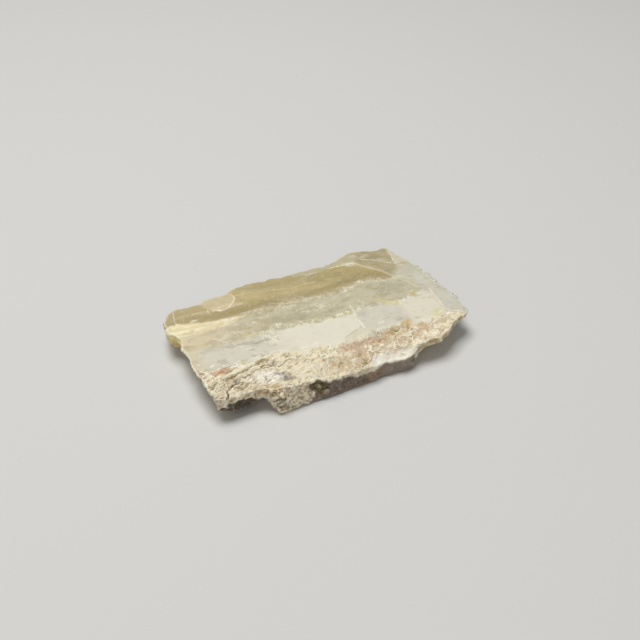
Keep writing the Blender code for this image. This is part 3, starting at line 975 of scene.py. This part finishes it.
# %% The grey and tan band, and the cream wedge
STONE_LENGTH = 55.0
bands_along = calculate("DIVIDE", "along", STONE_LENGTH)
tan_band = banding(
    bands_along,
    (0.0, 222, 208, 172), (0.1, 214, 199, 163), (0.2, 203, 189, 158),
    (0.32, 193, 182, 148), (0.45, 190, 181, 150), (0.6, 199, 191, 162),
    (0.72, 199, 190, 162), (0.85, 193, 185, 158), (1.0, 192, 184, 154),
)
tan_band = layered(
    tan_band,
    ((212, 205, 180), sharpen(grain(1.5, 4.0, 1.8, 6.0, 0.5), 0.4, 0.64), 0.4),
    ((174, 162, 126), sharpen(grain(1.9, 4.0, 2.0, -5.0, 0.5), 0.5, 0.68), 0.45),
)
stone = paint(milk, tan_band, sharpen("over_milk", -0.35, 0.45))

wedge = layered(
    colour(230, 215, 172),
    ((248, 238, 196), sharpen(grain(0.9, 3.0, 6.0, -4.0), 0.4, 0.62)),
    ((204, 189, 150), along_stone(9.0, 16.0, 0.0, 0.8)),
)
stone = paint(stone, wedge, "cream_wedge")
count_layers("the grey and tan band")

# %% [markdown]
# ## The brown glass of the broken back
#
# Behind the bands the opal is brown and nearly clear. It could be made see-through, but it is
# clouded enough to hide what lies behind it, so it is painted. Its border is crisp at the stone's
# ends and frayed in the middle.

# %% The brown glass
back_glass = banding(
    sharpen("back_depth", 0.0, 10.0),
    (0.0, 178, 162, 120), (0.1, 170, 153, 108), (0.35, 181, 165, 116),
    (0.62, 184, 169, 117), (1.0, 179, 164, 112),
)
cloudy = sharpen(grain(4.0, 3.0, 2.5), 0.4, 0.68)
smoky = sharpen(grain(2.6, 3.0, 2.0, -10.0, 0.4), 0.5, 0.7)
back_glass = layered(
    back_glass,
    ((196, 181, 138), cloudy, 0.45),
    ((158, 142, 104), smoky, 0.45),
    ((202, 184, 138), along_stone(22.0, 12.0, 0.0, 0.7), sharpen("back_depth", 3.0, 4.5)),
    ((205, 183, 136), "warm", 0.6),
)

off_middle = calculate("ABSOLUTE", calculate("SUBTRACT", "along", 22.0))
soft_border = sharpen(off_middle, 12.0, 5.0)
fraying = blend_numbers(grain(0.9), grain(1.5, 4.0), soft_border)
fraying = product(fraying, blend_numbers(1.2, 3.0, soft_border))
border_start = blend_numbers(0.1, 0.3, soft_border)
border_end = blend_numbers(1.1, 2.7, soft_border)
back_share = sharpen(calculate("ADD", "over_tan", fraying), border_start, border_end)
stone = paint(stone, back_glass, back_share)
count_layers("the brown glass")

# %% [markdown]
# ## The facets
#
# Each facet catches the light at its own angle. The lamp alone doesn't part them enough, because
# the real ones also differ in how milky they are, so each gets a tint.

# %% The facets
stone = layered(
    stone,
    ((187, 172, 130), "left_tip", 0.85),
    ((212, 197, 158), "tongue", 0.85),
    ((198, 189, 160), "pale_rim", 0.7),
)
peak_shade = sharpen(grain(2.2, 3.0, 2.0, -25.0), 0.42, 0.6)
peak = layered(colour(188, 175, 142), ((172, 160, 124), peak_shade))
stone = paint(stone, peak, product("tan_facet", 0.85))
stone = layered(
    stone,
    ((207, 202, 180), "facets", 0.92),
    ((216, 210, 188), "white_corner", 0.85),
)
sparkle = sharpen(grain(0.7, 4.0), 0.44, 0.58)
rim_glass = layered(colour(186, 189, 170), ((234, 237, 227), sparkle))
stone = paint(stone, rim_glass, product("glassy_rim", 0.85))
stone = layered(stone, ((222, 214, 186), "near_crust", 0.7))
count_layers("the facets")

# %% [markdown]
# ## Stains, veins and frost on the face
#
# Grey and yellow stains come first, then faint veins, then frost: three sets of crossing threads,
# shown where the stored field says that it is thick. Last come painted highlights along the faint
# scratches of the saw, and mottling over all of it.

# %% Stains, veins and frost
veins = product(sharpen("vein_distance", 0.16, 0.05), sharpen(grain(0.7), 0.35, 0.55))
frost_threads = either(
    threads(0.8, 0.072, 2.4, 24.0, 0.8),
    threads(0.7, 0.072, 2.4, 68.0, 0.8),
    threads(0.45, 0.07, 1.4, 50.0, 0.5),
)
stone = layered(
    stone,
    ((172, 165, 138), "grey", 0.55),
    ((212, 202, 136), "yellow", 0.7),
    ((238, 230, 206), veins, 0.75),
    ((246, 240, 218), frost_threads, "frost", sharpen(grain(1.0, 2.0), 0.42, 0.52), 0.9),
)
count_layers("the frost")

# %% Highlights on saw marks, mottling and pale spots
saw_mark_highlights = sharpen(grain(0.24, 2.0, 13.0, 68.0), 0.56, 0.7)
off_glass = sharpen("over_tan", 1.0, 0.0, 0.5, 1.0)
bright_mottle = sharpen(grain(0.8, 5.0, 1.6, 12.0), 0.52, 0.72)
dim_mottle = sharpen(grain(1.1, 5.0, 1.8, -8.0), 0.52, 0.72)
less_on_patch = blend_numbers(0.42, 0.08, "patch")
stone = layered(
    stone,
    # Painted highlights along the saw's scratches.
    ((238, 232, 210), saw_mark_highlights, sharpen(grain(2.4, 2.0), 0.5, 0.62), 0.3),
    ((230, 223, 200), bright_mottle, off_glass, 0.38),
    ((160, 150, 118), dim_mottle, off_glass, less_on_patch),
    ((214, 206, 182), "pale", 0.55),
    ((216, 214, 202), "ice", 0.6),
    ((232, 223, 196), sharpen(grain(0.4, 2.0), 0.66, 0.76), 0.3),
)
count_layers("the sawn face")

# %% [markdown]
# ## The crust
#
# The crust is weathered rock, cream and tan, with pink, ochre and brown parts. Broad colours come
# first, and crumbs over them. The crumbs are only colour: relief as fine as that would need
# millions of triangles.

# %% The crust's ground
CRUST_STRAND = (252, 243, 216)
crust_bands = banding(
    bands_along,
    (0.0, 206, 188, 156), (0.2, 214, 197, 164), (0.36, 238, 226, 192),
    (0.5, 228, 206, 171), (0.62, 208, 184, 152), (0.8, 222, 200, 170),
    (1.0, 226, 214, 182),
)
crumbly_parts = either(along_stone(31.0, 22.0, 0.15, 1.0), "lip")
dim_crumbs = sharpen(grain(0.55, 5.0, 2.3, 20.0), 0.5, 0.64)
bright_crumbs = sharpen(grain(0.5, 5.0, 2.3, 16.0), 0.52, 0.64)
broken_white = sharpen(grain(0.5, 3.0), 0.4, 0.54, along_stone(16.0, 30.0, 0.3, 0.9), 0.95)
crust_paint = layered(
    crust_bands,
    ((240, 229, 197), sharpen(grain(1.7, 4.0, 1.8, 10.0), 0.46, 0.62), 0.8),
    ((174, 147, 104), sharpen(grain(1.0, 4.0, 1.8, 16.0), 0.54, 0.66), 0.8),
    ((201, 166, 134), "pink", 0.88),
    ((188, 157, 104), "ochre", 0.68),
    ((152, 128, 88), dim_crumbs, crumbly_parts, 0.62),
    ((250, 243, 216), bright_crumbs, crumbly_parts, 0.7),
    ((255, 251, 240), "white", broken_white),
    (CRUST_STRAND, "strand", 0.3),
)
count_layers("the crust's ground")

# %% [markdown]
# ## Curls, grooves and grit
#
# At the right, short bright strands curl over a darker ground, so each is painted twice: wide and
# dark, as painted shade beside the raised strand, then narrow and bright. At the left, grooves and
# strands run long and slanting, and grit lies between them.

# %% Curls
unbroken = sharpen(grain(1.2, 2.0), 0.44, 0.52)
off_smooth = sharpen(either("pink", "ochre"), 0.9, 0.3, 0.3, 1.0)
curl_place = product(along_stone(15.0, 22.0), unbroken, off_smooth)


def curls(width):
    """Short curled strands that cross each other, as wide as asked."""
    flat_ones = threads(2.3, width, 2.0, 14.0, 2.0)
    steep_ones = threads(2.0, width, 1.9, 62.0, 2.0)
    return product(either(flat_ones, steep_ones), curl_place)


bright_curls = curls(0.09)
off_white = sharpen("white", 0.7, 0.2, 0.1, 1.0)
crust_paint = layered(
    crust_paint,
    # Painted shade beside each curl, then the bright curl itself.
    ((152, 122, 84), product(curls(0.18), off_white), 0.46),
    (CRUST_STRAND, bright_curls),
)
count_layers("curls")

# %% Grooves, pits and grit
at_left = along_stone(17.0, 12.0)
groove_patches = product(at_left, sharpen(grain(1.8, 3.0, angle=20.0), 0.46, 0.6))
grit_share = either("lip", along_stone(18.0, 15.0, 0.2, 0.75))
fold = product("white", along_stone(24.0, 30.0))
off_fold = sharpen(fold, 0.7, 0.2, 0.2, 1.0)
less_at_right = along_stone(42.0, 36.0, 0.15, 1.0)
dark_grit = product(sharpen(grain(0.3, 3.0), 0.55, 0.66), grit_share, less_at_right, off_fold)
bright_grit = sharpen(grain(0.33, 3.0, angle=40.0), 0.55, 0.64)
crust_paint = layered(
    crust_paint,
    ((132, 112, 72), threads(0.6, 0.07, 6.0, 20.0, 0.8), groove_patches, 0.85),
    (CRUST_STRAND, threads(0.5, 0.05, 8.0, 22.0, 0.8), at_left, 0.7),
    # Painted shade in the pits.
    ((150, 124, 90), "pit", 0.4),
    ((112, 90, 60), dark_grit, 0.75),
    # Painted highlight on the diagonal ridge.
    ((248, 238, 206), "diagonal_ridge", 0.6),
    # Painted shade in the grooves.
    ((136, 118, 74), "groove", 0.75),
    ((255, 250, 230), bright_grit, grit_share, 0.85),
)
count_layers("grooves, pits and grit")

# %% [markdown]
# ## The crust meets the stone
#
# The white fold has a few creases, and the wall at the right end is a warm tan. The whole crust is
# then laid over the stone in one layer. The spots come over everything, broken up by grain so that
# they don't look dabbed on.

# %% Lay the crust on the stone
creases = product(threads(1.7, 0.04, 1.3, 70.0, 1.0), fold, along_stone(34.5, 37.0))
right_wall = product("steep", along_stone(40.6, 42.0))
crust_paint = layered(
    crust_paint, ((186, 164, 130), creases, 0.4), ((204, 178, 130), right_wall, 0.7)
)
on_crust = sharpen("crust", 0.3, 0.7)
stone = paint(stone, crust_paint, on_crust)
spot_break = sharpen(grain(0.5, 3.0), 0.34, 0.5, 0.45, 1.0)
stone = layered(
    stone,
    ((214, 213, 198), "tip_glass", 0.8),
    ((188, 138, 98), "red", spot_break, 0.95),
    ((206, 172, 96), "orange", spot_break, 0.75),
    ((142, 132, 76), "olive", spot_break, 0.85),
    ((116, 99, 97), "mauve", spot_break, 0.75),
)
count_layers("the crust and its spots")

# %% [markdown]
# ## The front wall's paint
#
# The wall's paint follows its parts: the crumbly block first, with its ochre grit, and then the
# low wall under the crust's foot, from the dark lobe to the smooth slab. Speckles of two sizes
# make it granular, but hardly any lie on the slab.

# %% The crumbly block and its grit
# Painted shade along the foot of the crumbly block, where it stands on the table.
foot_shade = product(sharpen("height", 0.9, 0.3), sharpen("wall_along", 14.5, 16.0))
block = layered(
    colour(214, 190, 152),
    ((255, 246, 218), sharpen(grain(0.8, 4.0, 1.2), 0.4, 0.56)),
    ((104, 82, 52), sharpen(grain(0.6, 4.0), 0.56, 0.64, 0.0, 0.8)),
    ((134, 112, 78), "olive_patch", 0.85),
    ((104, 90, 80), foot_shade, 0.9),
)
block_share = sharpen("wall_along", 21.0, 19.0, 0.0, 0.8)
stone = paint(stone, block, product("wall", block_share))
ochre_grit = sharpen(grain(0.3, 3.0), 0.5, 0.6)
ochre = layered(colour(170, 138, 84), ((226, 206, 158), ochre_grit))
left_ochre = product("ochre", along_stone(20.0, 16.0), sharpen("height", 3.2, 4.4))
stone = paint(stone, ochre, product(left_ochre, 0.75))
count_layers("the crumbly block")

# %% The low wall and its hollow
low_wall = banding(
    calculate("DIVIDE", "wall_along", STONE_LENGTH),
    (0.0, 66, 54, 34), (0.16, 42, 31, 16), (0.2, 200, 178, 146), (0.34, 160, 138, 112),
    (0.38, 118, 98, 87), (0.53, 118, 100, 90), (0.56, 156, 128, 102),
    (0.6, 152, 126, 104), (0.62, 146, 128, 115), (1.0, 146, 128, 115),
)
speckled = layered(
    low_wall,
    ((168, 150, 134), sharpen(grain(0.32, 3.0), 0.56, 0.68, 0.0, 0.7)),
    ((84, 66, 52), sharpen(grain(0.5, 4.0, angle=30.0), 0.56, 0.68, 0.0, 0.6)),
)
low_wall = paint(speckled, low_wall, product("slab", 0.85))
stone = paint(stone, low_wall, product("below_crust", 0.92))
# The hollow is painted dark brown as shade, with lighter grit in it.
hollow_grit = sharpen(grain(0.4, 3.0), 0.42, 0.6)
hollow = layered(colour(78, 60, 34), ((150, 128, 86), hollow_grit))
stone = paint(stone, hollow, product("recess", 0.85))
count_layers("the front wall")

# %% [markdown]
# ## The amber lobe at the left end
#
# Where the brown glass reaches the left end, light comes through it and it glows like amber. A row
# of colours up the wall is steadier than see-through glass, which would show the dark inside of
# the stone.

# %% The amber lobe
SLICE_HEIGHT = 6.0
amber = banding(
    calculate("DIVIDE", "height", SLICE_HEIGHT),
    (0.0, 124, 86, 38), (0.4, 184, 136, 66), (0.6, 222, 196, 112), (0.85, 236, 220, 158),
)
stone = paint(stone, amber, "lobe")
count_layers("the amber lobe")

# %% [markdown]
# ## Ridges, hollows and lines
#
# Thin ridges, the stone's edges and the rim get painted highlights, and hollows painted shade.
# The lines and the crack come last, each from its stored distance, and each broken up by grain,
# since no crack in stone is even. Most bright lines are painted highlights along edges.

# %% Ridges and hollows
dark_wall = either("below_crust", "recess")
off_dark_wall = sharpen(dark_wall, 0.0, 0.8, 1.0, 0.2)
# Painted highlights on broad ridges, edges and the rim, painted shade in fine hollows, and painted
# highlights on fine ridges.
stone = layered(
    stone,
    ((244, 236, 208), sharpen("broad_ridge", 0.1, 0.32, 0.0, 0.6), off_dark_wall),
    ((232, 223, 194), "rim", sharpen(grain(0.8, 3.0), 0.4, 0.6), 0.5),
    ((112, 92, 64), sharpen("fine_ridge", -0.02, -0.1, 0.0, 0.4)),
    ((246, 238, 214), sharpen("fine_ridge", 0.015, 0.07, 0.0, 0.45), off_dark_wall),
)
count_layers("ridges and hollows")

# %% Lines and the crack
crack_and_edge_highlight = sharpen("line_distance", 0.2, 0.06, 0.0, 0.8)
lip_highlight = sharpen("lip_highlight_distance", 0.45, 0.08, 0.0, 0.6)
shadow = sharpen("shadow_distance", 0.2, 0.05, 0.0, 0.4)
soft_ridge_highlight = sharpen("ridge_highlight_distance", 0.55, 0.1, 0.0, 0.6)
dark_line = sharpen("dark_crack", 0.2, 0.8, 0.0, 0.85)
line_break = sharpen(grain(0.9, 2.0), 0.36, 0.5)
lip_break = sharpen(grain(1.4, 3.0), 0.35, 0.6, 0.3, 1.0)
crack_break = sharpen(grain(0.5, 3.0, angle=30.0), 0.36, 0.56, 0.3, 1.0)
stone = layered(
    stone,
    # Painted highlights along edges, and the bright cracks.
    ((246, 238, 212), crack_and_edge_highlight, "top", line_break),
    # Painted highlight along the lips.
    ((218, 200, 158), lip_highlight, lip_break, "top"),
    ((150, 140, 112), shadow, line_break),
    # Painted highlight along the ridge.
    ((220, 208, 176), soft_ridge_highlight, "top"),
    ((252, 248, 232), "fleck", 0.85),
    ((66, 52, 42), dark_line, "top", crack_break),
)
links.new(stone, shader.inputs["Base Color"])
count_layers("lines and the crack")

# %% [markdown]
# ## Gloss and glow
#
# A sawn face is satin, broken opal is nearly glass, and the crust is dull. Light also goes a
# little way into the stone and comes out beside where it went in, which softens its shadows.

# %% Gloss and glow
SATIN, GLASSY, FACET, CHALKY, DULL = 0.42, 0.26, 0.3, 0.8, 0.65
CURLS_STAND_OUT, FACE_BUMP, CRUST_BUMP = 3.0, 0.12, 1.0

gloss = blend_numbers(SATIN, GLASSY, back_share)
gloss = blend_numbers(gloss, FACET, "facets")
gloss = blend_numbers(gloss, CHALKY, on_crust)
gloss = blend_numbers(gloss, DULL, "wall")
crumb = calculate("ADD", grain(0.16, 3.0), product(bright_curls, CURLS_STAND_OUT))
crumb = product(crumb, blend_numbers(FACE_BUMP, CRUST_BUMP, "crust"))
bump = new_node("Bump", {"Strength": 0.6, "Distance": 0.05 * MM, "Height": crumb})
for name, value in {
    "Roughness": gloss, "Normal": bump.outputs[0], "IOR": 1.45, "Subsurface Weight": 0.25,
    "Subsurface Radius": (1.0, 0.8, 0.5), "Subsurface Scale": 0.9 * MM,
}.items():
    fill(shader.inputs[name], value)

opal.data.materials.clear()
opal.data.materials.append(opal_finish)
print("nodes in the finish:", len(nodes))

# %% [markdown]
# ## The skin takes the solid's place
#
# The skin stands for the whole slice, so it replaces the solid in the picture. It has no joint to
# move on, so it belongs to the root.

# %% Hand the skin over to the frame
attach(opal, "root")
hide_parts("opal_slice")

# %% [markdown]
# ## Floor, light and camera
#
# A pale floor, one large soft lamp overhead and a little behind the stone, so that the top is
# bright and the front lies in its own shade, and a weak light from all round.

# %% Floor
HALF_FLOOR = 3.0
PALE_FLOOR = (212, 211, 208)

floor_bm = bmesh.new()
bmesh.ops.create_grid(floor_bm, x_segments=1, y_segments=1, size=HALF_FLOOR)
floor = object_of(floor_bm, "floor")
floor_finish = bpy.data.materials.new("pale_floor")
floor_finish.use_nodes = True
floor_shader = floor_finish.node_tree.nodes["Principled BSDF"]
floor_shader.inputs["Base Color"].default_value = colour(*PALE_FLOOR)
floor_shader.inputs["Roughness"].default_value = 0.8
floor.data.materials.append(floor_finish)
print("floor, m:", 2.0 * HALF_FLOOR)

# %% [markdown]
# ## Lamps
#
# A large lamp throws soft shadows, as a window does. Both lamps are aimed at the stone. The weak
# one in front only keeps the front wall from going black.

# %% Light
SURROUND = 0.22


def soft_lamp(name, place, size, power):
    lamp = bpy.data.lights.new(name, "AREA")
    lamp.size = size
    lamp.energy = power
    stand = bpy.data.objects.new(name, lamp)
    stand.location = place
    stand.rotation_euler = Vector(place).to_track_quat("Z", "Y").to_euler()
    bpy.context.scene.collection.objects.link(stand)


soft_lamp("overhead", (-0.06, 0.09, 0.57), 0.3, 2.7)
soft_lamp("front_fill", (-0.35, -0.45, 0.35), 0.5, 0.4)
world = bpy.data.worlds.new("studio")
world.use_nodes = True
backdrop = world.node_tree.nodes["Background"]
backdrop.inputs["Color"].default_value = (1.0, 1.0, 1.0, 1.0)
backdrop.inputs["Strength"].default_value = SURROUND
bpy.context.scene.world = world
bpy.context.scene.view_settings.view_transform = "Standard"
print("lamps:", len(bpy.data.lights))

# %% [markdown]
# ## Camera
#
# The camera looks down at the stone from its front left corner, as a person at a table would. Its
# place and aim are in millimetres from the slice's lowest corner.

# %% Camera
CAMERA_PLACE = (-26.65, -106.14, 116.57)
CAMERA_AIM = (28.4, 17.5, 3.0)
CAMERA_WIDTH = 38.0
NEAREST_SEEN = 0.005

camera = bpy.data.cameras.new("camera")
camera.sensor_fit = "HORIZONTAL"
camera.angle = math.radians(CAMERA_WIDTH)
camera.clip_start = NEAREST_SEEN
stand = bpy.data.objects.new("camera", camera)
corner = Vector((low.x, low.y, 0.0))
stand.location = corner + Vector(CAMERA_PLACE) * MM
toward = Vector(CAMERA_AIM) - Vector(CAMERA_PLACE)
stand.rotation_euler = toward.to_track_quat("-Z", "Y").to_euler()
bpy.context.scene.collection.objects.link(stand)
bpy.context.scene.camera = stand
print("camera is", round(toward.length), "mm from what it looks at")
